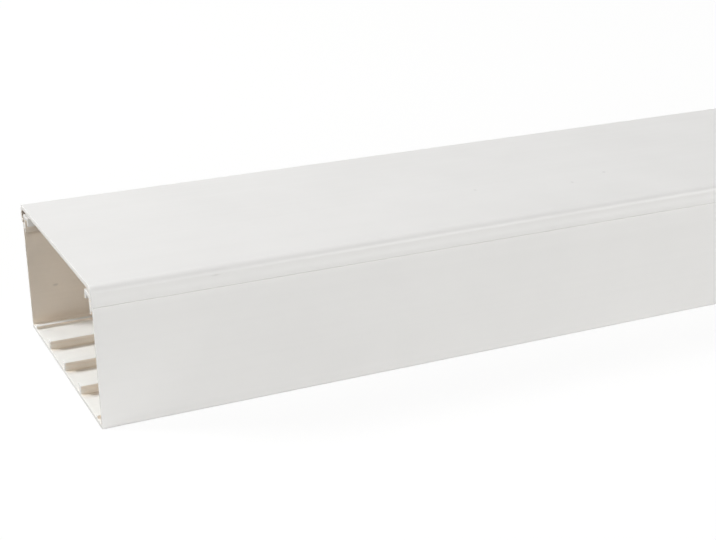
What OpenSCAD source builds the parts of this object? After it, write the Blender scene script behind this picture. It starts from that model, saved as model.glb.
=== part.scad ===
// Two-piece cable trunking: an extruded channel that is fixed to a wall, and the cover that snaps on it.
// Millimetres. X runs along the stock, Y across it, Z up. The origin is the middle of the underside.

/* [Stock] */
// Length of the stock
trunk_length = 2000; // [500:50:3000]
// Width over the outer faces of the two walls
base_width = 120; // [100:1:160]
// Height from the underside of the floor to the top of the cover
overall_height = 60; // [50:1:90]

/* [Channel] */
// Thickness of the side walls
wall_t = 1.2; // [1:0.1:2.6]
// Thickness of the floor
floor_t = 2; // [1.6:0.1:3]
// Radius of the outer bottom corners
corner_r = 1; // [0.4:0.1:1.8]
// Radius inside, where a wall meets the floor
foot_fillet_r = 1; // [0.4:0.1:2]

/* [Partition rails] */
// Number of rails along the floor, for clip-in partitions
rail_count = 3; // [1:1:4]
// Spacing of the rails, centre to centre
rail_pitch = 26.5; // [16:0.5:28]
// Height of a rail above the floor
rail_h = 4.1; // [3:0.1:6]
// Width of a rail's head
rail_head_w = 5; // [4:0.1:7]
// Thickness of a rail's head
rail_head_t = 1.4; // [1:0.1:2]
// Width of a rail's stem
rail_stem_w = 2.2; // [1.4:0.1:3]

/* [Foot ribs] */
// Clear gap between a wall and the low rib beside it
foot_rib_gap = 5.8; // [3:0.1:7]
// Width of a foot rib
foot_rib_w = 2; // [1.2:0.1:3]
// Height of a foot rib above the floor
foot_rib_h = 1.6; // [0.8:0.1:2.6]

/* [Wall head] */
// Thickness of the neck, which stands inside the cover's skirt
neck_t = 1.6; // [1.2:0.1:2.4]
// Thickness of the shelf between a wall and its neck
shelf_t = 2; // [1.4:0.1:3]
// Radius of the shoulder that shows below the cover's skirt
shoulder_r = 0.7; // [0.2:0.1:1.2]
// Reach of the cable retainer's leg below the shelf
retainer_leg_h = 1.6; // [1:0.1:5]
// Thickness of the head flange and of the leg at its inner edge
flange_t = 1.6; // [1.2:0.1:2.4]
// Reach of the head flange inside its neck
lip_reach = 6.2; // [4:0.1:12]
// Reach of the leg below the head flange
lip_leg_h = 2.1; // [0.8:0.1:3.4]
// Height of the slope that lets the cover's hook ride over the catch
catch_lead_h = 0.8; // [0.4:0.1:1]
// Depth of that slope across the catch
catch_lead_w = 1.4; // [0.8:0.1:2]

/* [Cover] */
// Thickness of the cover's plate
plate_t = 2.1; // [1.4:0.1:2.6]
// How far the skirt stands proud of the wall
cover_overhang = 0.8; // [0.3:0.1:1.2]
// Thickness of the skirt
skirt_t = 1.6; // [1.3:0.1:2.4]
// Radius of the cover's upper edges
edge_r = 3.1; // [1.5:0.1:4]
// Radius of the skirt's lower outer edge
skirt_edge_r = 0.4; // [0.2:0.1:0.6]
// Width of the gusset under the plate, beside the skirt
gusset_w = 2.6; // [1:0.1:4]
// Depth of that gusset
gusset_h = 1.6; // [0.8:0.1:2]
// Reach of the hook inside the skirt
hook_reach = 1.8; // [1.2:0.1:2.6]
// Height of the hook
hook_h = 2.2; // [1.4:0.1:3]
// Height of the flat land at the hook's tip
hook_land_h = 0.6; // [0.2:0.1:1]

/* [Fits] */
// Clearance between the hook and the catch above it
hook_clearance = 0.35; // [0.2:0.05:0.6]
// Clearance between the catch's tip and the skirt
catch_clearance = 0.6; // [0.3:0.05:1]
// Clearance between the hook's tip and the neck
neck_clearance = 0.7; // [0.5:0.1:2.4]
// Gap between the skirt's lower edge and the shoulder of the wall
seam_gap = 0.5; // [0.3:0.05:1]
// Space between the cover's plate and the head flange
cover_space = 2.2; // [1.8:0.1:4]

/* [Fixing slots] */
// Spacing of the fixing slots along the floor
slot_pitch = 500; // [150:10:600]
// Width of a slot
slot_w = 5.5; // [4:0.5:7]
// Length of a slot, end to end
slot_l = 12; // [9:0.5:20]

/* [Hidden] */

$fn = 48;
arc_steps = 8;
shell_white = "#f1efe8";
overcut = 1;

// Heights, from the top of the cover down through the snap fit
plate_under_z = overall_height - plate_t;
flange_top_z = plate_under_z - cover_space;
flange_under_z = flange_top_z - flange_t;
hook_top_z = flange_under_z - hook_clearance;
skirt_bottom_z = hook_top_z - hook_h;
shoulder_z = skirt_bottom_z - seam_gap;
shelf_under_z = shoulder_z - shelf_t;
retainer_z = shelf_under_z - retainer_leg_h;
lip_leg_z = flange_under_z - lip_leg_h;
rail_top_z = floor_t + rail_h;
foot_rib_z = floor_t + foot_rib_h;

// Distances from the middle plane, from the cover's skirt inwards through the snap fit
wall_out = base_width / 2;
wall_in = wall_out - wall_t;
skirt_out = wall_out + cover_overhang;
skirt_in = skirt_out - skirt_t;
hook_tip = skirt_in - hook_reach;
catch_tip = skirt_in - catch_clearance;
neck_out = hook_tip - neck_clearance;
neck_in = neck_out - neck_t;
lip_tip = neck_in - lip_reach;
foot_rib_out = wall_in - foot_rib_gap;
foot_rib_in = foot_rib_out - foot_rib_w;

// Rails stand evenly about the middle, and the slots lie in the lanes between rails and foot ribs
rail_ys = [for (i = [0 : rail_count - 1]) (i - (rail_count - 1) / 2) * rail_pitch];
rail_edge = (rail_count - 1) / 2 * rail_pitch + rail_head_w / 2;
slot_row_y = (rail_edge + foot_rib_in) / 2;
slot_rows = floor(trunk_length / slot_pitch);
slot_xs = [for (i = [0 : slot_rows - 1]) (i - (slot_rows - 1) / 2) * slot_pitch];

// Points of a round stretch about a centre, from one angle to another
function arc(centre, r, from, to) =
    [for (i = [0 : arc_steps])
        let (a = from + (to - from) * i / arc_steps)
            centre + r * [cos(a), sin(a)]];

// An outline of both sides: one side's points, then their mirror image back to the start
function both_sides(side) =
    concat(side, [for (i = [len(side) - 1 : -1 : 0]) [-side[i][0], side[i][1]]]);

// One side of the channel, from its outer bottom corner up the wall, over the head and back to the floor
function channel_side() = concat(
    arc([wall_out - corner_r, corner_r], corner_r, -90, 0),
    arc([wall_out - shoulder_r, shoulder_z - shoulder_r], shoulder_r, 0, 90),
    [
        [neck_out, shoulder_z],
        [neck_out, flange_under_z],
        [catch_tip, flange_under_z],
        [catch_tip, flange_top_z - catch_lead_h],
        [catch_tip - catch_lead_w, flange_top_z],
        [lip_tip, flange_top_z],
        [lip_tip, lip_leg_z],
        [lip_tip + flange_t, lip_leg_z],
        [lip_tip + flange_t, flange_under_z],
        [neck_in, flange_under_z],
        [neck_in, retainer_z],
        [neck_out, retainer_z],
        [neck_out, shelf_under_z],
        [wall_in, shelf_under_z],
    ],
    arc([wall_in - foot_fillet_r, floor_t + foot_fillet_r], foot_fillet_r, 0, -90),
    [
        [foot_rib_out, floor_t],
        [foot_rib_out, foot_rib_z],
        [foot_rib_in, foot_rib_z],
        [foot_rib_in, floor_t],
    ]
);

// One side of the cover, from under its plate round the hook and up the skirt to the rounded edge
function cover_side() = concat(
    [
        [skirt_in - gusset_w, plate_under_z],
        [skirt_in, plate_under_z - gusset_h],
        [skirt_in, hook_top_z],
        [hook_tip, hook_top_z],
        [hook_tip, hook_top_z - hook_land_h],
        [skirt_in, skirt_bottom_z],
    ],
    arc([skirt_out - skirt_edge_r, skirt_bottom_z + skirt_edge_r], skirt_edge_r, -90, 0),
    arc([skirt_out - edge_r, overall_height - edge_r], edge_r, 0, 90)
);

// A T-shaped rail that a partition clips over, rooted in the floor
module rail_profile() {
    translate([-rail_stem_w / 2, floor_t / 2])
        square([rail_stem_w, rail_top_z - rail_head_t / 2 - floor_t / 2]);
    translate([-rail_head_w / 2, rail_top_z - rail_head_t])
        square([rail_head_w, rail_head_t]);
}

// Carries a section drawn across Y and Z along the whole length of the stock
module along_stock() {
    rotate([90, 0, 90])
        linear_extrude(height = trunk_length, center = true)
            children();
}

// A slot through the floor with round ends, long way along the stock
module fixing_slot() {
    run = (slot_l - slot_w) / 2;
    for (end = [-run, run])
        translate([end, 0, -overcut])
            cylinder(d = slot_w, h = floor_t + 2 * overcut);
    translate([-run, -slot_w / 2, -overcut])
        cube([2 * run, slot_w, floor_t + 2 * overcut]);
}

// The channel: floor, walls, snap-fit heads, foot ribs and partition rails in one extrusion
module base() {
    color(shell_white)
        difference() {
            along_stock()
                union() {
                    polygon(both_sides(channel_side()));
                    for (y = rail_ys)
                        translate([y, 0])
                            rail_profile();
                }
            for (x = slot_xs, y = [-slot_row_y, slot_row_y])
                translate([x, y, 0])
                    fixing_slot();
        }
}

// The cover: a plate with rounded edges and two skirts that hook under the catches
module cover() {
    color(shell_white)
        along_stock()
            polygon(both_sides(cover_side()));
}

base();
cover();
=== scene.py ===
"""Looks of a two-piece cable trunking: an extruded PVC channel and its cover, in a white studio.

Sizes are millimetres, or metres where a class says so. Meshes are metres in the frame of the solids: X runs
along the stock, Y across it and Z up, with the origin in the middle of the underside.
"""

import logging
import math
from collections.abc import Mapping, Sequence
from dataclasses import dataclass, field, replace
from enum import IntEnum
from typing import Any

import bmesh
import bpy
import numpy as np
from mathutils import Matrix, Vector


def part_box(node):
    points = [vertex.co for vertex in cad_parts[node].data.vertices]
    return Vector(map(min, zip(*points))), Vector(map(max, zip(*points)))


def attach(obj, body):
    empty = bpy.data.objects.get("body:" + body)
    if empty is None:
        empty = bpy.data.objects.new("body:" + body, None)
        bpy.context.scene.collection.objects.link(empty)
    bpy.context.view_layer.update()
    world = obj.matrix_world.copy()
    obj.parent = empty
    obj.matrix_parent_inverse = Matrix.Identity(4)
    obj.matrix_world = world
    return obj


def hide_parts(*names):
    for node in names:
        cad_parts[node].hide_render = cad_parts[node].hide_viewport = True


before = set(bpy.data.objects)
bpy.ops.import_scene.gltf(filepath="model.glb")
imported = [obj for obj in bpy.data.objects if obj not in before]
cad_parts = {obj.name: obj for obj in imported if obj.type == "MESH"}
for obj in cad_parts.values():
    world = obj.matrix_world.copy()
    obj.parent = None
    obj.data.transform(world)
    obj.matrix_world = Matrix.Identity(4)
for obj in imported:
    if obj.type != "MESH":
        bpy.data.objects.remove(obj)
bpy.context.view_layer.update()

log = logging.getLogger("trunking")

MM = 0.001
# Points closer together than this, in millimetres, are one point
SAME_POINT = 0.001
IMAGE_WIDTH_PX = 716
WHITE = (1.0, 1.0, 1.0, 1.0)
# Places of the colour sockets on a Mix node: share, first colour, second colour, and the result
MIX_SHARE, MIX_FROM, MIX_TO, MIX_RESULT = 0, 6, 7, 2


class Face(IntEnum):
    """Kinds of surface on an extrusion."""

    OUTER = 0
    INNER = 1
    LANE = 2
    SAWN = 3


class Axis(IntEnum):
    """Directions of the frame."""

    ALONG = 0
    ACROSS = 1
    UP = 2


def solid_span(node: str, axis: Axis) -> tuple[float, float]:
    """Reads off the frame where a solid begins and ends.

    Args:
        node: The solid's name.
        axis: The direction to measure in.

    Returns:
        Both places in millimetres, to the nearest thousandth.
    """
    low, high = (round(corner[axis] / MM, 3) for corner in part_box(node))
    return low, high


def linear(hex_colour: str) -> tuple[float, float, float, float]:
    """Turns an sRGB hex colour into linear RGBA.

    Args:
        hex_colour: Six hex digits after a hash sign.

    Returns:
        Linear red, green and blue with an alpha of one.
    """
    digits = hex_colour.lstrip("#")
    srgb = np.array([int(digits[i : i + 2], 16) for i in (0, 2, 4)]) / 255.0
    rgb = np.where(srgb <= 0.04045, srgb / 12.92, ((srgb + 0.055) / 1.055) ** 2.4)
    return (*rgb.tolist(), 1.0)


def add_node(
    tree: bpy.types.NodeTree,
    kind: str,
    settings: Mapping[str, Any] | None = None,
    inputs: Mapping[str | int, Any] | None = None,
) -> bpy.types.Node:
    """Adds a node, sets its properties and feeds its sockets.

    Args:
        tree: The node tree that gets the node.
        kind: Blender's name for the type of node.
        settings: Properties of the node by name.
        inputs: Sockets by name or place; another node's output is linked, anything else is set.

    Returns:
        The new node.
    """
    node = tree.nodes.new(kind)
    for name, value in (settings or {}).items():
        setattr(node, name, value)
    for key, value in (inputs or {}).items():
        socket = node.inputs[key]
        if isinstance(value, bpy.types.NodeSocket):
            tree.links.new(value, socket)
        else:
            socket.default_value = value
    return node


def new_material(name: str) -> tuple[bpy.types.Material, bpy.types.NodeTree]:
    """Makes an empty node material.

    Args:
        name: The material's name.

    Returns:
        The material and its cleared node tree.
    """
    material = bpy.data.materials.new(name)
    material.use_nodes = True
    material.node_tree.nodes.clear()
    return material, material.node_tree


@dataclass(frozen=True)
class Mark:
    """A scuff, speck or spot of dirt: an ellipsoid that darkens the surface which it touches."""

    centre: tuple[float, float, float]
    half_size: tuple[float, float, float]
    strength: float


@dataclass(frozen=True)
class ExtrudedPvc:
    """Rigid PVC as it leaves the extruder, opaque with white pigment.

    The die drags faint lines along the stock, and the sizing tool leaves the outside satin. Cooling without
    a tool leaves the inside duller, with a fine orange peel. Where other surfaces stand close, shade is
    painted into the colour: a tint that stands for the dimmer, warmer light that has met more PVC on its way.
    """

    name: str
    colour: str
    shade: str
    roughness: float
    roughness_spread: float = 0.06
    ior: float = 1.54
    # Lines of the die: real ones are a tenth of this apart, too fine to show, so these are drawn coarser
    die_pitch: float = 1.6
    die_run: float = 420.0
    die_depth: float = 0.012
    die_weight: float = 0.35
    # Orange peel of a surface that cools in air
    peel_pitch: float = 2.6
    peel_depth: float = 0.010
    # Clouds of slightly darker pigment, and the values of the noise between which they come in
    mottle_pitch: float = 38.0
    mottle_span: tuple[float, float] = (0.40, 0.95)
    # Specks of dirt: spacing of the places where one may lie, share of these that has one, largest radius
    speck_pitch: float = 21.0
    speck_share: float = 0.30
    speck_size: float = 0.35
    speck_strength: float = 0.30
    dirt: str = "#6f6a61"
    # Painted shade in recesses: its tint, how near other surfaces have to be, and the openness from full tint
    # to none
    recess_shade: str | None = None
    recess_reach: float = 6.0
    recess_span: tuple[float, float] = (0.35, 0.95)
    recess_rays: int = 8
    # Marks: where each is, how ragged its edge is, and the distance from full strength to none in half sizes
    marks: tuple[Mark, ...] = ()
    mark_ragged: float = 0.8
    mark_span: tuple[float, float] = (0.45, 1.25)

    def material(self) -> bpy.types.Material:
        """Builds the shader: mottled colour with specks and marks, streaked gloss, and die lines as bump.

        Returns:
            The material.
        """
        material, tree = new_material(self.name)
        place = add_node(tree, "ShaderNodeTexCoord").outputs["Object"]
        run, pitch = 1 / (self.die_run * MM), 1 / (self.die_pitch * MM)
        drawn = add_node(
            tree, "ShaderNodeMapping", inputs={"Vector": place, "Scale": (run, pitch, pitch)}
        ).outputs["Vector"]
        die = add_node(
            tree, "ShaderNodeTexNoise", inputs={"Vector": drawn, "Scale": 1.0, "Detail": 2.0}
        ).outputs["Fac"]
        mottle = add_node(
            tree,
            "ShaderNodeTexNoise",
            inputs={"Vector": place, "Scale": 1 / (self.mottle_pitch * MM), "Detail": 3.0},
        ).outputs["Fac"]
        peel = add_node(
            tree,
            "ShaderNodeTexNoise",
            inputs={"Vector": place, "Scale": 1 / (self.peel_pitch * MM), "Detail": 1.0},
        ).outputs["Fac"]
        streaked = add_node(
            tree, "ShaderNodeMath", {"operation": "MULTIPLY_ADD"}, {0: die, 1: self.die_weight, 2: mottle}
        ).outputs["Value"]
        cloud = add_node(
            tree,
            "ShaderNodeMapRange",
            inputs={"Value": streaked, "From Min": self.mottle_span[0], "From Max": self.mottle_span[1]},
        ).outputs["Result"]
        tint = add_node(
            tree,
            "ShaderNodeMix",
            {"data_type": "RGBA"},
            {MIX_SHARE: cloud, MIX_FROM: linear(self.colour), MIX_TO: linear(self.shade)},
        ).outputs[MIX_RESULT]
        # Painted shade: a darker, warmer tint blended in where other surfaces stand close
        if self.recess_shade:
            tint = self._paint_recess_shade(tree, tint)
        soiled = add_node(
            tree,
            "ShaderNodeMix",
            {"data_type": "RGBA"},
            {MIX_SHARE: self._dirt_share(tree, place, peel), MIX_FROM: tint, MIX_TO: linear(self.dirt)},
        ).outputs[MIX_RESULT]
        gloss = add_node(
            tree,
            "ShaderNodeMapRange",
            inputs={
                "Value": cloud,
                "To Min": self.roughness - self.roughness_spread,
                "To Max": self.roughness + self.roughness_spread,
            },
        ).outputs["Result"]
        rippled = add_node(
            tree, "ShaderNodeBump", inputs={"Height": peel, "Distance": self.peel_depth * MM}
        ).outputs["Normal"]
        lined = add_node(
            tree,
            "ShaderNodeBump",
            inputs={"Height": die, "Distance": self.die_depth * MM, "Normal": rippled},
        ).outputs["Normal"]
        shader = add_node(
            tree,
            "ShaderNodeBsdfPrincipled",
            inputs={"Base Color": soiled, "Roughness": gloss, "IOR": self.ior, "Normal": lined},
        )
        add_node(tree, "ShaderNodeOutputMaterial", inputs={"Surface": shader.outputs["BSDF"]})
        return material

    def _paint_recess_shade(self, tree: bpy.types.NodeTree, tint: bpy.types.NodeSocket) -> bpy.types.NodeSocket:
        """Paints shade: blends the tint of recesses in where other surfaces stand within reach.

        Args:
            tree: The node tree of the material.
            tint: The colour of open surfaces.

        Returns:
            The blended colour.
        """
        openness = add_node(
            tree,
            "ShaderNodeAmbientOcclusion",
            {"samples": self.recess_rays},
            {"Distance": self.recess_reach * MM},
        ).outputs["AO"]
        share = add_node(
            tree,
            "ShaderNodeMapRange",
            inputs={
                "Value": openness,
                "From Min": self.recess_span[0],
                "From Max": self.recess_span[1],
                "To Min": 1.0,
                "To Max": 0.0,
            },
        ).outputs["Result"]
        return add_node(
            tree,
            "ShaderNodeMix",
            {"data_type": "RGBA"},
            {MIX_SHARE: share, MIX_FROM: tint, MIX_TO: linear(self.recess_shade)},
        ).outputs[MIX_RESULT]

    def _dirt_share(
        self, tree: bpy.types.NodeTree, place: bpy.types.NodeSocket, grain: bpy.types.NodeSocket
    ) -> bpy.types.NodeSocket:
        """Gives how much dirt lies at a point: sparse specks, and each mark with a ragged edge.

        Args:
            tree: The node tree of the material.
            place: Object coordinates.
            grain: A noise that breaks up the edges of the marks.

        Returns:
            A socket from 0, clean, to 1, soiled.
        """
        cells = add_node(
            tree,
            "ShaderNodeTexVoronoi",
            inputs={"Vector": place, "Scale": 1 / (self.speck_pitch * MM)},
        )
        draw = add_node(
            tree, "ShaderNodeSeparateColor", inputs={"Color": cells.outputs["Color"]}
        ).outputs["Red"]
        radius = add_node(
            tree,
            "ShaderNodeMapRange",
            inputs={
                "Value": draw,
                "From Min": 1.0 - self.speck_share,
                "From Max": 1.0,
                "To Max": self.speck_size / self.speck_pitch,
            },
        ).outputs["Result"]
        inside = add_node(
            tree,
            "ShaderNodeMath",
            {"operation": "LESS_THAN"},
            {0: cells.outputs["Distance"], 1: radius},
        ).outputs["Value"]
        share = add_node(
            tree, "ShaderNodeMath", {"operation": "MULTIPLY"}, {0: inside, 1: self.speck_strength}
        ).outputs["Value"]
        for mark in self.marks:
            offset = add_node(
                tree,
                "ShaderNodeVectorMath",
                {"operation": "SUBTRACT"},
                {0: place, 1: tuple(c * MM for c in mark.centre)},
            ).outputs["Vector"]
            scaled = add_node(
                tree,
                "ShaderNodeVectorMath",
                {"operation": "DIVIDE"},
                {0: offset, 1: tuple(h * MM for h in mark.half_size)},
            ).outputs["Vector"]
            reach = add_node(
                tree, "ShaderNodeVectorMath", {"operation": "LENGTH"}, {0: scaled}
            ).outputs["Value"]
            ragged = add_node(
                tree,
                "ShaderNodeMath",
                {"operation": "MULTIPLY_ADD"},
                {0: grain, 1: self.mark_ragged, 2: reach},
            ).outputs["Value"]
            stain = add_node(
                tree,
                "ShaderNodeMapRange",
                {"interpolation_type": "SMOOTHSTEP"},
                {
                    "Value": ragged,
                    "From Min": self.mark_span[0],
                    "From Max": self.mark_span[1],
                    "To Min": mark.strength,
                    "To Max": 0.0,
                },
            ).outputs["Result"]
            share = add_node(
                tree, "ShaderNodeMath", {"operation": "MAXIMUM"}, {0: share, 1: stain}
            ).outputs["Value"]
        return share


@dataclass(frozen=True)
class SawnPvc:
    """PVC cut by a fine circular saw: duller and greyer than the skin, the grey partly painted shade, with
    strokes of the teeth.

    Real strokes are a fraction of a millimetre apart. They are drawn as coarse as they need to show.
    """

    name: str
    colour: str
    shade: str
    roughness: float = 0.62
    ior: float = 1.54
    tooth_pitch: float = 0.9
    tooth_run: float = 40.0
    tooth_depth: float = 0.03
    tilt_deg: float = 17.0

    def material(self) -> bpy.types.Material:
        """Builds the shader: strokes that run slantwise up the cut, as streaks of shade and as bump.

        Returns:
            The material.
        """
        material, tree = new_material(self.name)
        place = add_node(tree, "ShaderNodeTexCoord").outputs["Object"]
        run, pitch = 1 / (self.tooth_run * MM), 1 / (self.tooth_pitch * MM)
        turned = add_node(
            tree,
            "ShaderNodeMapping",
            inputs={"Vector": place, "Rotation": (math.radians(self.tilt_deg), 0.0, 0.0)},
        ).outputs["Vector"]
        strokes = add_node(
            tree, "ShaderNodeMapping", inputs={"Vector": turned, "Scale": (run, pitch, run)}
        ).outputs["Vector"]
        teeth = add_node(
            tree, "ShaderNodeTexNoise", inputs={"Vector": strokes, "Scale": 1.0, "Detail": 2.0}
        ).outputs["Fac"]
        tint = add_node(
            tree,
            "ShaderNodeMix",
            {"data_type": "RGBA"},
            {MIX_SHARE: teeth, MIX_FROM: linear(self.colour), MIX_TO: linear(self.shade)},
        ).outputs[MIX_RESULT]
        cut = add_node(
            tree, "ShaderNodeBump", inputs={"Height": teeth, "Distance": self.tooth_depth * MM}
        ).outputs["Normal"]
        shader = add_node(
            tree,
            "ShaderNodeBsdfPrincipled",
            inputs={"Base Color": tint, "Roughness": self.roughness, "IOR": self.ior, "Normal": cut},
        )
        add_node(tree, "ShaderNodeOutputMaterial", inputs={"Surface": shader.outputs["BSDF"]})
        return material


# Both sawn ends of both extrusions: a dull, faintly streaked edge round the open section, set greyer as
# painted shade so the cut faces, lit head-on by the key, come out no brighter than the top
SAWN_ENDS = SawnPvc("sawn PVC", "#d9d8d5", "#cfcdc9")
# The outside of the channel, drawn through the sizing tool: satin, nearly neutral white
CHANNEL_SKIN = ExtrudedPvc("extruded PVC, channel skin", "#f0efed", "#ecebe9", roughness=0.40)
# The outside of the cover: the same satin, a shade lighter, scuffed on the near skirt and specked on top
COVER_SKIN = ExtrudedPvc(
    "extruded PVC, cover skin",
    "#f2f1ef",
    "#eeedeb",
    roughness=0.40,
    marks=(
        Mark((-950.5, -60.8, 56.7), (3.6, 1.0, 0.55), 0.14),
        Mark((-809.7, -16.7, 60.0), (1.2, 1.5, 1.0), 0.22),
        Mark((-763.9, -26.4, 60.0), (1.1, 1.5, 1.0), 0.22),
        Mark((-741.5, -19.3, 60.0), (1.4, 1.4, 1.0), 0.20),
    ),
)
# The floor of the channel and the tops of its rails: cool white where they are open, with warm painted shade
# in the roots
FLOOR_LANES = ExtrudedPvc(
    "extruded PVC, floor lanes", "#f3f4f2", "#ecedeb", roughness=0.50, recess_shade="#f4e8d8"
)
# The walls inside the channel and the flanks of its ribs and rails: cooled in air, so duller, and creamier as
# painted shade, a warmer, darker copy of the lanes' PVC; with a smudge on the far wall
CHANNEL_INSIDE = ExtrudedPvc(
    "extruded PVC, inside, with painted shade",
    "#f0e5d8",
    "#e9ded0",
    roughness=0.50,
    recess_shade="#f4e8d8",
    marks=(Mark((-988.1, 58.8, 19.4), (2.0, 1.0, 0.9), 0.24),),
)
# The inside of the cover: as cream as the walls, the same painted shade; its narrow slots get a darker grey
# painted shade, so they look dark
COVER_INSIDE = replace(CHANNEL_INSIDE, name="extruded PVC, under the cover", recess_shade="#a3978c", marks=())


@dataclass(frozen=True)
class Corner:
    """A corner of an outline: its distance from the middle plane, its height, and its radius."""

    s: float
    z: float
    r: float


def mirrored(half: Sequence[Corner]) -> np.ndarray:
    """Completes an outline whose corners are given for one side of the middle plane.

    Args:
        half: Corners of one side, in order.

    Returns:
        Rows of distance, height and radius: that side, then its mirror image back to the start.
    """
    side = np.array([(c.s, c.z, c.r) for c in half])
    return np.vstack([side, side[::-1] * np.array([-1.0, 1.0, 1.0])])


def rounded(corners: np.ndarray, steps: int, support: float) -> np.ndarray:
    """Rounds the corners of a closed outline.

    Each corner becomes an arc that touches both its sides: it starts at radius times the tangent of half the
    turn before the corner, and its points are the start turned about the arc's centre by equal angles. One
    more point stands on the side before the arc and one after it, so that flat faces stay flat in shading.
    A corner with no radius stays one point.

    Args:
        corners: Rows of distance, height and radius.
        steps: Number of segments in an arc.
        support: Distance of the extra points from the arc's ends.

    Returns:
        Rows of distance and height, with no point twice.
    """
    point, radius = corners[:, :2], corners[:, 2]
    into = point - np.roll(point, 1, axis=0)
    along_in = into / np.linalg.norm(into, axis=1, keepdims=True)
    along_out = np.roll(along_in, -1, axis=0)
    turn = np.arctan2(
        along_in[:, 0] * along_out[:, 1] - along_in[:, 1] * along_out[:, 0],
        (along_in * along_out).sum(axis=1),
    )
    reach = (radius * np.tan(np.abs(turn) / 2))[:, None]
    start, end = point - along_in * reach, point + along_out * reach
    side = np.sign(turn)[:, None] * np.stack([-along_in[:, 1], along_in[:, 0]], axis=1)
    centre = start + side * radius[:, None]
    angle = turn[:, None] * np.linspace(0.0, 1.0, steps + 1)
    arm = (start - centre)[:, None, :]
    cos, sin = np.cos(angle)[..., None], np.sin(angle)[..., None]
    across = np.stack([-arm[..., 1], arm[..., 0]], axis=-1)
    arc = centre[:, None, :] + arm * cos + across * sin
    spare = support * (radius > 0)[:, None]
    before, after = start - along_in * spare, end + along_out * spare
    outline = np.concatenate([before[:, None], arc, after[:, None]], axis=1).reshape(-1, 2)
    gap = np.linalg.norm(outline - np.roll(outline, 1, axis=0), axis=1)
    return outline[gap > SAME_POINT]


def outward(outline: np.ndarray) -> np.ndarray:
    """Gives the outward direction at each point of an outline that runs anticlockwise.

    Args:
        outline: Rows of distance and height.

    Returns:
        Unit rows, each at right angles to the line through the point's two neighbours.
    """
    along = np.roll(outline, -1, axis=0) - np.roll(outline, 1, axis=0)
    normal = np.stack([along[:, 1], -along[:, 0]], axis=1)
    return normal / np.linalg.norm(normal, axis=1, keepdims=True)


def middles(outline: np.ndarray) -> np.ndarray:
    """Gives the middle of each segment of a closed outline, from a point to the next."""
    return (outline + np.roll(outline, -1, axis=0)) / 2


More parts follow.
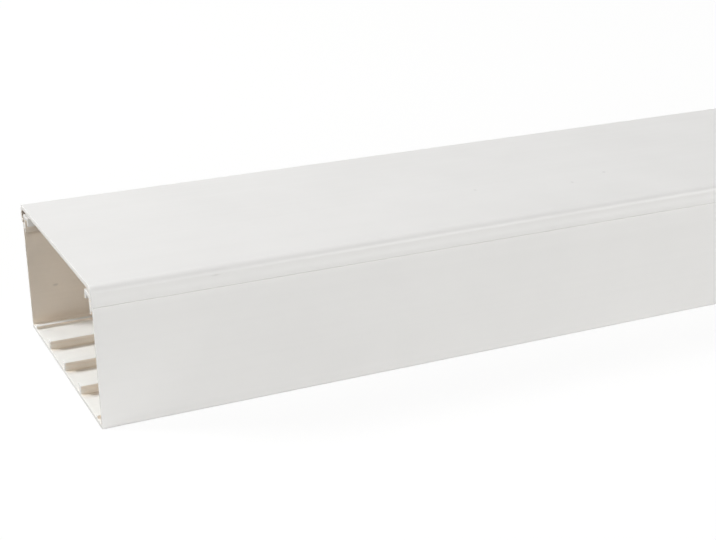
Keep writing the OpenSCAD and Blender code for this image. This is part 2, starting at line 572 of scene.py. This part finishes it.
@dataclass
class Stock:
    """What the two extrusions share: the length, the sawn ends, and the snap fit where their sections meet.

    The fit's heights run down from the cover's top, and its distances from the middle plane run in from the
    outside of the cover's skirt. These two, the width and the ends come from the solids.
    """

    name: str = "extrusion"
    ends: tuple[float, float] = field(default_factory=lambda: solid_span("base", Axis.ALONG))
    half_width: float = field(default_factory=lambda: solid_span("base", Axis.ACROSS)[1])
    skirt_out: float = field(default_factory=lambda: solid_span("cover", Axis.ACROSS)[1])
    top: float = field(default_factory=lambda: solid_span("cover", Axis.UP)[1])
    # How far the piece lies towards the open end from the place of its solid
    end_shift: float = 0.0
    # Heights of the fit, from the top down; the hook and the seam are drawn as they show
    plate_t: float = 2.1
    cover_space: float = 2.2
    flange_t: float = 1.6
    hook_clearance: float = 0.35
    hook_h: float = 2.3
    seam_gap: float = 0.25
    # Distances of the fit, from the skirt in
    skirt_t: float = 1.6
    hook_reach: float = 1.8
    catch_clearance: float = 0.6
    neck_clearance: float = 0.7
    neck_t: float = 1.6
    # Radii of arrises, of roots and of the deburred edge of a sawn end
    edge_r: float = 0.25
    root_r: float = 0.30
    deburr_r: float = 0.18
    # Fineness of the mesh, and the angle from which an edge stays crisp in shading
    arc_steps: int = 8
    deburr_steps: int = 3
    support: float = 0.12
    crisp_deg: float = 35.0

    def __post_init__(self) -> None:
        """Works out the heights and distances at which the sections meet."""
        self.plate_under: float = self.top - self.plate_t
        self.flange_top: float = self.plate_under - self.cover_space
        self.flange_under: float = self.flange_top - self.flange_t
        self.hook_top: float = self.flange_under - self.hook_clearance
        self.skirt_under: float = self.hook_top - self.hook_h
        self.shoulder: float = self.skirt_under - self.seam_gap
        self.skirt_in: float = self.skirt_out - self.skirt_t
        self.hook_tip: float = self.skirt_in - self.hook_reach
        self.catch_tip: float = self.skirt_in - self.catch_clearance
        self.neck_out: float = self.hook_tip - self.neck_clearance
        self.neck_in: float = self.neck_out - self.neck_t

    def corners(self) -> np.ndarray:
        """Gives the outline's corners, anticlockwise seen against X; each extrusion has its own."""
        raise NotImplementedError

    def kinds(self, middle: np.ndarray) -> np.ndarray:
        """Gives the kind of face of each outline segment, by its middle; each extrusion has its own."""
        raise NotImplementedError

    def stations(self) -> np.ndarray:
        """Gives the places along the stock, between its ends, that need a ring of points."""
        return np.empty(0)

    def solid_quads(self, outline: np.ndarray, xs: np.ndarray) -> np.ndarray:
        """Gives which quads, as strips by outline segments, no opening takes away."""
        return np.ones((len(xs) - 1, len(outline)), dtype=bool)

    def openings(self, first: int) -> tuple[np.ndarray, list[list[int]]]:
        """Gives the points and faces of openings, with the index of the first new point as their start."""
        return np.empty((0, 3)), []

    def loft(self) -> tuple[np.ndarray, np.ndarray, np.ndarray]:
        """Carries the outline along the stock.

        A point of the surface is (x, y, z), where (y, z) is an outline point moved inwards by an inset. The
        inset is zero along the stock. Over the last bit of each end it follows a quarter circle: the distance
        from the end is the deburring radius times one minus the sine of an angle, and the inset is that
        radius times one minus the cosine.

        Returns:
            The outline, the rings' places along X, and the points as rings by outline points by three.
        """
        outline = rounded(self.corners(), self.arc_steps, self.support)
        angle = np.linspace(0.0, math.pi / 2, self.deburr_steps + 1)
        depth = self.deburr_r * (1 - np.sin(angle))
        inset = self.deburr_r * (1 - np.cos(angle))
        first, last = (end - self.end_shift for end in self.ends)
        inside = np.sort(self.stations())
        xs = np.concatenate([first + depth[::-1], inside, last - depth])
        insets = np.concatenate([inset[::-1], np.zeros_like(inside), inset])
        section = outline[None] - outward(outline)[None] * insets[:, None, None]
        x = np.broadcast_to(xs[:, None, None], (*section.shape[:2], 1))
        return outline, xs, np.concatenate([x, section], axis=2)

    def skin(self, outline: np.ndarray, rings: int) -> tuple[np.ndarray, np.ndarray]:
        """Lists the quads between neighbouring rings and their kind of face.

        Args:
            outline: Rows of distance and height.
            rings: Number of rings.

        Returns:
            Quads as strips by outline segments by four indices, and their kinds.
        """
        count = len(outline)
        ring = np.arange(rings - 1)[:, None] * count
        here = np.arange(count)[None]
        there = (here + 1) % count
        quads = np.stack(
            [ring + here, ring + count + here, ring + count + there, ring + there], axis=2
        )
        return quads, np.broadcast_to(self.kinds(middles(outline)), quads.shape[:2])

    def build(self, materials: Mapping[Face, bpy.types.Material]) -> bpy.types.Object:
        """Builds the extrusion as one closed surface: its skin, its openings and its two sawn ends.

        Args:
            materials: The material of each kind of face that the extrusion has.

        Returns:
            The finished object.
        """
        outline, xs, rings = self.loft()
        quads, kinds = self.skin(outline, len(xs))
        solid = self.solid_quads(outline, xs)
        points = rings.reshape(-1, 3)
        count = len(outline)
        caps = [list(range(count)), list(range(len(points) - count, len(points)))]
        rim_points, rim_faces = self.openings(len(points))
        faces = quads[solid].tolist() + rim_faces + caps
        face_kinds = np.concatenate(
            [kinds[solid], np.full(len(rim_faces), Face.LANE), np.full(len(caps), Face.SAWN)]
        )
        return self.finish_mesh(np.vstack([points, rim_points]), faces, face_kinds, materials)

    def finish_mesh(
        self,
        points: np.ndarray,
        faces: list[list[int]],
        kinds: np.ndarray,
        materials: Mapping[Face, bpy.types.Material],
    ) -> bpy.types.Object:
        """Makes the object: closes seams, turns faces outwards and keeps arrises crisp.

        Args:
            points: Rows of x, y and z in millimetres.
            faces: Point indices of each face.
            kinds: Kind of face, one for each.
            materials: The material of each kind of face.

        Returns:
            The object, linked to the scene.
        """
        mesh = bpy.data.meshes.new(self.name)
        mesh.from_pydata((points * MM).tolist(), [], faces)
        index = np.zeros(len(Face), dtype=np.int32)
        index[list(materials)] = np.arange(len(materials))
        for material in materials.values():
            mesh.materials.append(material)
        mesh.polygons.foreach_set("material_index", index[kinds])
        mesh.polygons.foreach_set("use_smooth", np.ones(len(faces), dtype=bool))
        work = bmesh.new()
        work.from_mesh(mesh)
        bmesh.ops.remove_doubles(work, verts=work.verts, dist=SAME_POINT * MM)
        bmesh.ops.recalc_face_normals(work, faces=work.faces)
        work.to_mesh(mesh)
        work.free()
        mesh.set_sharp_from_angle(angle=math.radians(self.crisp_deg))
        piece = bpy.data.objects.new(self.name, mesh)
        bpy.context.scene.collection.objects.link(piece)
        return piece


@dataclass
class Channel(Stock):
    """The channel: floor, walls, T-rails and foot ribs, and wall heads with shelf, neck, catch and lip."""

    name: str = "channel_extrusion"
    wall_t: float = 1.2
    floor_t: float = 2.0
    corner_r: float = 1.0
    foot_fillet_r: float = 1.0
    # Rails that partitions clip over
    rail_pitch: float = 26.5
    rail_h: float = 4.1
    rail_head_w: float = 5.0
    rail_head_t: float = 1.4
    rail_stem_w: float = 2.2
    rail_edge_r: float = 0.65
    # Low ribs beside the walls
    foot_rib_gap: float = 5.5
    foot_rib_w: float = 2.0
    foot_rib_h: float = 1.4
    # Heads of the walls: shelf and retainer leg below the catch, lip inside it, and the lead for the hook
    shoulder_r: float = 0.3
    shelf_t: float = 2.15
    retainer_h: float = 1.6
    lip_reach: float = 6.2
    lip_h: float = 2.1
    catch_lead_w: float = 1.4
    catch_lead_h: float = 0.8
    # Fixing slots in the floor
    slot_pitch: float = 500.0
    slot_row: float = 40.0
    slot_w: float = 5.5
    slot_l: float = 12.0
    slot_arc_steps: int = 8
    # How near a height counts as the top of a rib or rail
    level_tolerance: float = 0.1

    def __post_init__(self) -> None:
        """Works out the places that more than one method needs."""
        super().__post_init__()
        self.wall_in: float = self.half_width - self.wall_t
        self.rib_out: float = self.wall_in - self.foot_rib_gap
        self.rib_in: float = self.rib_out - self.foot_rib_w
        self.rib_top: float = self.floor_t + self.foot_rib_h
        self.rail_top: float = self.floor_t + self.rail_h
        self.lip_under: float = self.flange_under - self.lip_h
        first, last = self.ends
        count = int((last - first) // self.slot_pitch)
        self.slot_xs: np.ndarray = (np.arange(count) - (count - 1) / 2) * self.slot_pitch

    def corners(self) -> np.ndarray:
        """Walks one side: out along the underside, up the wall, over the head and back along the floor.

        Returns:
            Rows of distance, height and radius for both sides.
        """
        out, root, edge = self.half_width, self.root_r, self.edge_r
        floor, low, high = self.floor_t, self.flange_under, self.flange_top
        lip_tip = self.neck_in - self.lip_reach
        lip_leg = lip_tip + self.flange_t
        shelf_under = self.shoulder - self.shelf_t
        retainer_under = shelf_under - self.retainer_h
        head, stem = self.rail_head_w / 2, self.rail_stem_w / 2
        head_under = self.rail_top - self.rail_head_t
        rail = [
            (stem, floor, root),
            (stem, head_under, root),
            (head, head_under, edge),
            (head, self.rail_top, self.rail_edge_r),
        ]
        slot = [self.slot_row + k * self.slot_w / 2 for k in (-1, 0, 1)]
        half = [Corner(y, 0.0, 0.0) for y in slot]
        half += [
            Corner(out, 0.0, self.corner_r),
            Corner(out, self.shoulder, self.shoulder_r),
            Corner(self.neck_out, self.shoulder, root),
            Corner(self.neck_out, low, root),
            Corner(self.catch_tip, low, edge),
            Corner(self.catch_tip, high - self.catch_lead_h, edge),
            Corner(self.catch_tip - self.catch_lead_w, high, edge),
            Corner(lip_tip, high, edge),
            Corner(lip_tip, self.lip_under, edge),
            Corner(lip_leg, self.lip_under, edge),
            Corner(lip_leg, low, root),
            Corner(self.neck_in, low, root),
            Corner(self.neck_in, retainer_under, edge),
            Corner(self.neck_out, retainer_under, edge),
            Corner(self.neck_out, shelf_under, root),
            Corner(self.wall_in, shelf_under, root),
            Corner(self.wall_in, floor, self.foot_fillet_r),
            Corner(self.rib_out, floor, root),
            Corner(self.rib_out, self.rib_top, edge),
            Corner(self.rib_in, self.rib_top, edge),
            Corner(self.rib_in, floor, root),
        ]
        half += [Corner(y, floor, 0.0) for y in reversed(slot)]
        half += [Corner(self.rail_pitch + y, z, r) for y, z, r in rail]
        half += [Corner(self.rail_pitch - y, z, r) for y, z, r in reversed(rail)]
        half += [Corner(y, z, r) for y, z, r in rail]
        return mirrored(half)

    def kinds(self, middle: np.ndarray) -> np.ndarray:
        """Takes as lane the floor and the tops of ribs and rails, and as inner the inside below the lips.

        Args:
            middle: Rows of distance and height, one for each outline segment.

        Returns:
            The kind of face of each segment.
        """
        s, z = np.abs(middle[:, 0]), middle[:, 1]
        within = (s < self.half_width - self.wall_t / 2) & (z > self.floor_t / 2)
        within &= z < self.lip_under - self.edge_r
        floor = (s < self.wall_in - self.foot_fillet_r) & (z < self.floor_t + self.root_r)
        off_level = np.abs(z[:, None] - np.array([self.rib_top, self.rail_top])).min(axis=1)
        tops = (off_level < self.level_tolerance) & (s < self.rib_out)
        # Inner faces, which stand in shade, get a warmer, darker copy of the PVC as painted shade; lanes face
        # the light and stay white
        return np.where(within, np.where(floor | tops, Face.LANE, Face.INNER), Face.OUTER)

    def stations(self) -> np.ndarray:
        """Places rings at the ends of each slot and where its round ends begin."""
        run = np.array([-self.slot_l, self.slot_w - self.slot_l]) / 2
        return (self.slot_xs[:, None] + np.concatenate([run, -run])).ravel()

    def solid_quads(self, outline: np.ndarray, xs: np.ndarray) -> np.ndarray:
        """Leaves out the rectangle round each slot, on the floor and on the underside.

        Args:
            outline: Rows of distance and height.
            xs: Places of the rings along X.

        Returns:
            True where a quad stays, as strips by outline segments.
        """
        y, z = np.abs(middles(outline)[:, 0]), middles(outline)[:, 1]
        flat = np.isclose(z, 0.0) | np.isclose(z, self.floor_t)
        in_row = flat & (np.abs(y - self.slot_row) < self.slot_w / 2)
        mid_x = (xs[1:] + xs[:-1]) / 2
        at_slot = np.abs(mid_x[:, None] - self.slot_xs).min(axis=1) < self.slot_l / 2
        return ~(at_slot[:, None] & in_row[None])

    def openings(self, first: int) -> tuple[np.ndarray, list[list[int]]]:
        """Fills in around the slots and lines them.

        A slot's outline is a rectangle's sides with a quarter circle in each corner. On the floor and on the
        underside, triangles fan from each corner of the rectangle to its quarter circle. The lining joins
        the two levels along the outline.

        Args:
            first: Index of the first new point.

        Returns:
            New points, and the point indices of each new face.
        """
        r, run = self.slot_w / 2, (self.slot_l - self.slot_w) / 2
        steps = self.slot_arc_steps
        sx, sy = np.array([1, -1, -1, 1]), np.array([1, 1, -1, -1])
        angle = np.linspace(0.0, math.pi / 2, steps + 1)
        turn = np.arange(4)[:, None] * math.pi / 2 + angle
        arc = np.stack([sx[:, None] * run + r * np.cos(turn), r * np.sin(turn)], axis=2)
        tip = np.stack([sx * (run + r), sy * r], axis=1)[:, None]
        ring = np.concatenate([arc, tip], axis=1).reshape(-1, 2)
        rows = (-self.slot_row, self.slot_row)
        where = np.stack(np.meshgrid(self.slot_xs, rows, indexing="ij"), axis=-1).reshape(-1, 2)
        flat = (where[:, None] + ring[None]).reshape(-1, 2)
        upper = np.column_stack([flat, np.full(len(flat), self.floor_t)])
        points = np.vstack([upper, upper * np.array([1.0, 1.0, 0.0])])
        # Each quarter has its arc's points and then the rectangle's corner; the underside follows the floor
        per, below = steps + 2, len(flat)
        quarter = first + np.arange(4 * len(where))[:, None, None] * per
        a = np.arange(steps)
        fan = np.stack([np.full(steps, per - 1), a, a + 1], axis=1)
        fans = (fan[None] + quarter).reshape(-1, 3)
        lining = np.stack([a, a + 1, a + 1 + below, a + below], axis=1)
        linings = (lining[None] + quarter).reshape(-1, 4)
        slot = first + np.arange(len(where))[:, None] * 4 * per
        leave, meet = slot + np.array([steps, 2 * per + steps]), slot + np.array([per, 3 * per])
        sides = np.stack([leave, meet, meet + below, leave + below], axis=2).reshape(-1, 4)
        return points, np.vstack([fans, fans + below]).tolist() + np.vstack([linings, sides]).tolist()

    def dress(self, piece: bpy.types.Object) -> None:
        """Sets the piece in the place of its solid and on its body.

        Args:
            piece: The finished object.
        """
        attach(piece, "base")
        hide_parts("base")


@dataclass
class Cover(Stock):
    """The cover: a plate with rounded edges, and two skirts that hook under the channel's catches."""

    name: str = "cover_extrusion"
    end_shift: float = 0.35
    top_r: float = 3.1
    skirt_edge_r: float = 0.4
    # The skirt swells outwards by the hook, and the rest of it lies that much further in
    swell: float = 0.25
    swell_low: float = 53.6
    swell_high: float = 55.3
    swell_r: float = 10.0
    # Gusset under the plate, beside the skirt
    gusset_w: float = 2.6
    gusset_h: float = 1.6
    # Flat land at the hook's tip
    hook_land_h: float = 0.6

    def corners(self) -> np.ndarray:
        """Walks one side: under the plate, round the hook, and up the skirt, which swells by the hook.

        Returns:
            Rows of distance, height and radius for both sides.
        """
        root, edge, upper_out = self.root_r, self.edge_r, self.skirt_out - self.swell
        half = [
            Corner(self.skirt_in - self.gusset_w, self.plate_under, root),
            Corner(self.skirt_in, self.plate_under - self.gusset_h, root),
            Corner(self.skirt_in, self.hook_top, root),
            Corner(self.hook_tip, self.hook_top, edge),
            Corner(self.hook_tip, self.hook_top - self.hook_land_h, edge),
            Corner(self.skirt_in, self.skirt_under, edge),
            Corner(self.skirt_out, self.skirt_under, self.skirt_edge_r),
            Corner(self.skirt_out, self.swell_low, self.swell_r),
            Corner(upper_out, self.swell_high, self.swell_r),
            Corner(upper_out, self.top, self.top_r),
        ]
        return mirrored(half)

    def kinds(self, middle: np.ndarray) -> np.ndarray:
        """Takes as inner what lies under the plate and inside the skirts.

        Args:
            middle: Rows of distance and height, one for each outline segment.

        Returns:
            The kind of face of each segment.
        """
        s, z = np.abs(middle[:, 0]), middle[:, 1]
        under = (s < self.skirt_in + self.edge_r / 2) & (z < self.top - self.plate_t / 2)
        # The underside stands in shade and gets the warmer, darker copy of the PVC as painted shade
        return np.where(under, Face.INNER, Face.OUTER)

    def dress(self, piece: bpy.types.Object) -> None:
        """Sets the piece in the place of its solid and on its body.

        Args:
            piece: The finished object.
        """
        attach(piece, "cover")
        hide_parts("cover")


@dataclass(frozen=True)
class Softbox:
    """A rectangular lamp behind a diffuser; a honeycomb grid before it may narrow its spread.

    Places and sizes are metres, and the power is watts. The aim is the middle of what the camera sees.
    """

    name: str
    place: tuple[float, float, float]
    power: float
    size: tuple[float, float] = (1.16, 1.16)
    aim: tuple[float, float, float] = (-0.93, 0.0, 0.03)
    spread_deg: float = 180.0

    def build(self) -> None:
        """Makes the lamp and turns it to its aim."""
        light = bpy.data.lights.new(self.name, "AREA")
        light.shape = "RECTANGLE"
        light.size, light.size_y = self.size
        light.energy = self.power
        light.spread = math.radians(self.spread_deg)
        lamp = bpy.data.objects.new(self.name, light)
        bpy.context.scene.collection.objects.link(lamp)
        lamp.location = self.place
        gaze = Vector(self.aim) - Vector(self.place)
        lamp.rotation_euler = gaze.to_track_quat("-Z", "Y").to_euler()


# The key stands to the left behind the open end, and the others fill in round it. The low strip lights the
# foot of the near wall, and the last lamp the far end of the stock.
LAMPS = (
    Softbox("softbox_key", (-3.89, 1.58, 2.21), 143.0),
    Softbox("softbox_left", (-2.63, -2.94, 2.15), 29.7),
    Softbox("softbox_front", (0.32, -3.72, 0.79), 69.0, size=(2.95, 1.16)),
    Softbox("softbox_front_high", (0.31, -3.41, 1.72), 6.0),
    Softbox("softbox_right", (2.5, -1.98, 0.59), 20.4),
    Softbox("softbox_back", (-1.62, 2.59, 3.0), 25.7),
    Softbox(
        "striplight_low",
        (-0.3, -0.95, 0.12),
        0.08,
        size=(3.0, 0.06),
        aim=(-0.3, -0.06, -0.03),
        spread_deg=9.0,
    ),
    Softbox("softbox_far_top", (1.7, 0.3, 3.0), 6.0, size=(1.2, 1.2), aim=(1.7, 0.0, 0.0), spread_deg=60.0),
)


@dataclass(frozen=True)
class Studio:
    """The camera, the pale floor, the surroundings and the lamps.

    The camera's place and the floor's drop are millimetres, and the other sizes are metres.
    """

    # The camera, fitted to the edges of the object
    eye: tuple[float, float, float] = (-1119.0, -564.3, 249.25)
    yaw_deg: float = 24.54
    pitch_deg: float = 19.92
    roll_deg: float = -0.936
    focal_px: float = 1434.4
    sensor: float = 36.0
    clip: tuple[float, float] = (0.01, 100.0)
    # The floor: half its side, its drop below the object, its paper, and how its white comes in further out
    floor_half: float = 6.0
    floor_drop: float = 0.2
    floor_colour: str = "#bdbdbb"
    floor_glow: float = 0.78
    floor_white: float = 1.17
    fade: tuple[float, float] = (1.6, 3.2)
    # Strength of the even light from all round
    dome: float = 0.02
    lamps: tuple[Softbox, ...] = LAMPS

    def camera(self) -> None:
        """Sets the camera at the fitted place; its axes come from yaw, pitch and roll."""
        yaw, pitch, roll = map(math.radians, (self.yaw_deg, self.pitch_deg, self.roll_deg))
        level = Vector((math.cos(yaw), -math.sin(yaw), 0.0))
        ahead = Vector(
            (math.sin(yaw) * math.cos(pitch), math.cos(yaw) * math.cos(pitch), -math.sin(pitch))
        )
        rise = level.cross(ahead)
        right = level * math.cos(roll) + rise * math.sin(roll)
        up = rise * math.cos(roll) - level * math.sin(roll)
        data = bpy.data.cameras.new("camera")
        data.sensor_width = self.sensor
        data.lens = self.focal_px * self.sensor / IMAGE_WIDTH_PX
        data.clip_start, data.clip_end = self.clip
        camera = bpy.data.objects.new("camera", data)
        bpy.context.scene.collection.objects.link(camera)
        turn = Matrix((right, up, -ahead)).transposed().to_4x4()
        camera.matrix_world = Matrix.Translation(Vector(self.eye) * MM) @ turn
        bpy.context.scene.camera = camera

    def floor(self) -> None:
        """Lays the floor: a square sheet that shows white, keeps a soft shadow, and fades out to white."""
        sides = np.array([(-1, -1), (1, -1), (1, 1), (-1, 1)]) * self.floor_half
        points = np.column_stack([sides, np.full(len(sides), -self.floor_drop * MM)])
        mesh = bpy.data.meshes.new("floor")
        mesh.from_pydata(points.tolist(), [], [list(range(len(points)))])
        mesh.materials.append(self.floor_material())
        sheet = bpy.data.objects.new("floor", mesh)
        bpy.context.scene.collection.objects.link(sheet)

    def floor_material(self) -> bpy.types.Material:
        """Mixes matt paper with a white glow that the camera and reflections see, stronger further out.

        Returns:
            The material.
        """
        material, tree = new_material("matt white paper")
        place = add_node(tree, "ShaderNodeTexCoord").outputs["Object"]
        reach = add_node(
            tree, "ShaderNodeVectorMath", {"operation": "LENGTH"}, {0: place}
        ).outputs["Value"]
        glow = add_node(
            tree,
            "ShaderNodeMapRange",
            {"interpolation_type": "SMOOTHSTEP"},
            {
                "Value": reach,
                "From Min": self.fade[0],
                "From Max": self.fade[1],
                "To Min": self.floor_glow,
                "To Max": 1.0,
            },
        ).outputs["Result"]
        share = add_node(
            tree, "ShaderNodeMath", {"operation": "MULTIPLY"}, {0: glow, 1: self.seen(tree)}
        ).outputs["Value"]
        paper = add_node(
            tree, "ShaderNodeBsdfDiffuse", inputs={"Color": linear(self.floor_colour)}
        ).outputs["BSDF"]
        white = add_node(
            tree, "ShaderNodeEmission", inputs={"Color": WHITE, "Strength": self.floor_white}
        ).outputs["Emission"]
        mixed = add_node(tree, "ShaderNodeMixShader", inputs={0: share, 1: paper, 2: white})
        add_node(tree, "ShaderNodeOutputMaterial", inputs={"Surface": mixed.outputs["Shader"]})
        return material

    def seen(self, tree: bpy.types.NodeTree) -> bpy.types.NodeSocket:
        """Picks out the rays that should meet plain white: from the camera, off gloss, and through glass.

        Args:
            tree: The node tree to build in.

        Returns:
            A socket that is one for such a ray and zero for the light that falls on the object.
        """
        path = add_node(tree, "ShaderNodeLightPath").outputs
        pair = add_node(
            tree,
            "ShaderNodeMath",
            {"operation": "MAXIMUM"},
            {0: path["Is Camera Ray"], 1: path["Is Glossy Ray"]},
        ).outputs["Value"]
        return add_node(
            tree,
            "ShaderNodeMath",
            {"operation": "MAXIMUM"},
            {0: pair, 1: path["Is Transmission Ray"]},
        ).outputs["Value"]

    def surroundings(self) -> None:
        """Makes the surroundings white to the eye, and a dim even dome as light."""
        world = bpy.data.worlds.new("studio")
        bpy.context.scene.world = world
        world.use_nodes = True
        tree = world.node_tree
        tree.nodes.clear()
        strength = add_node(
            tree,
            "ShaderNodeMapRange",
            inputs={"Value": self.seen(tree), "To Min": self.dome, "To Max": 1.0},
        ).outputs["Result"]
        sky = add_node(tree, "ShaderNodeBackground", inputs={"Color": WHITE, "Strength": strength})
        add_node(tree, "ShaderNodeOutputWorld", inputs={"Surface": sky.outputs["Background"]})

    def build(self) -> None:
        """Sets up the whole studio."""
        bpy.context.scene.view_settings.view_transform = "Standard"
        self.camera()
        self.floor()
        self.surroundings()
        for lamp in self.lamps:
            lamp.build()


def main() -> None:
    """Builds the studio, then the channel and its cover, and reports each piece."""
    logging.basicConfig(level=logging.INFO, format="%(name)s: %(message)s")
    Studio().build()
    sawn = SAWN_ENDS.material()
    channel_faces = {
        Face.OUTER: CHANNEL_SKIN.material(),
        Face.INNER: CHANNEL_INSIDE.material(),
        Face.LANE: FLOOR_LANES.material(),
        Face.SAWN: sawn,
    }
    cover_faces = {
        Face.OUTER: COVER_SKIN.material(),
        Face.INNER: COVER_INSIDE.material(),
        Face.SAWN: sawn,
    }
    for part, materials in ((Channel(), channel_faces), (Cover(), cover_faces)):
        piece = part.build(materials)
        part.dress(piece)
        log.info("%s: %d points, %d faces", piece.name, len(piece.data.vertices), len(piece.data.polygons))


if __name__ == "__main__":
    main()
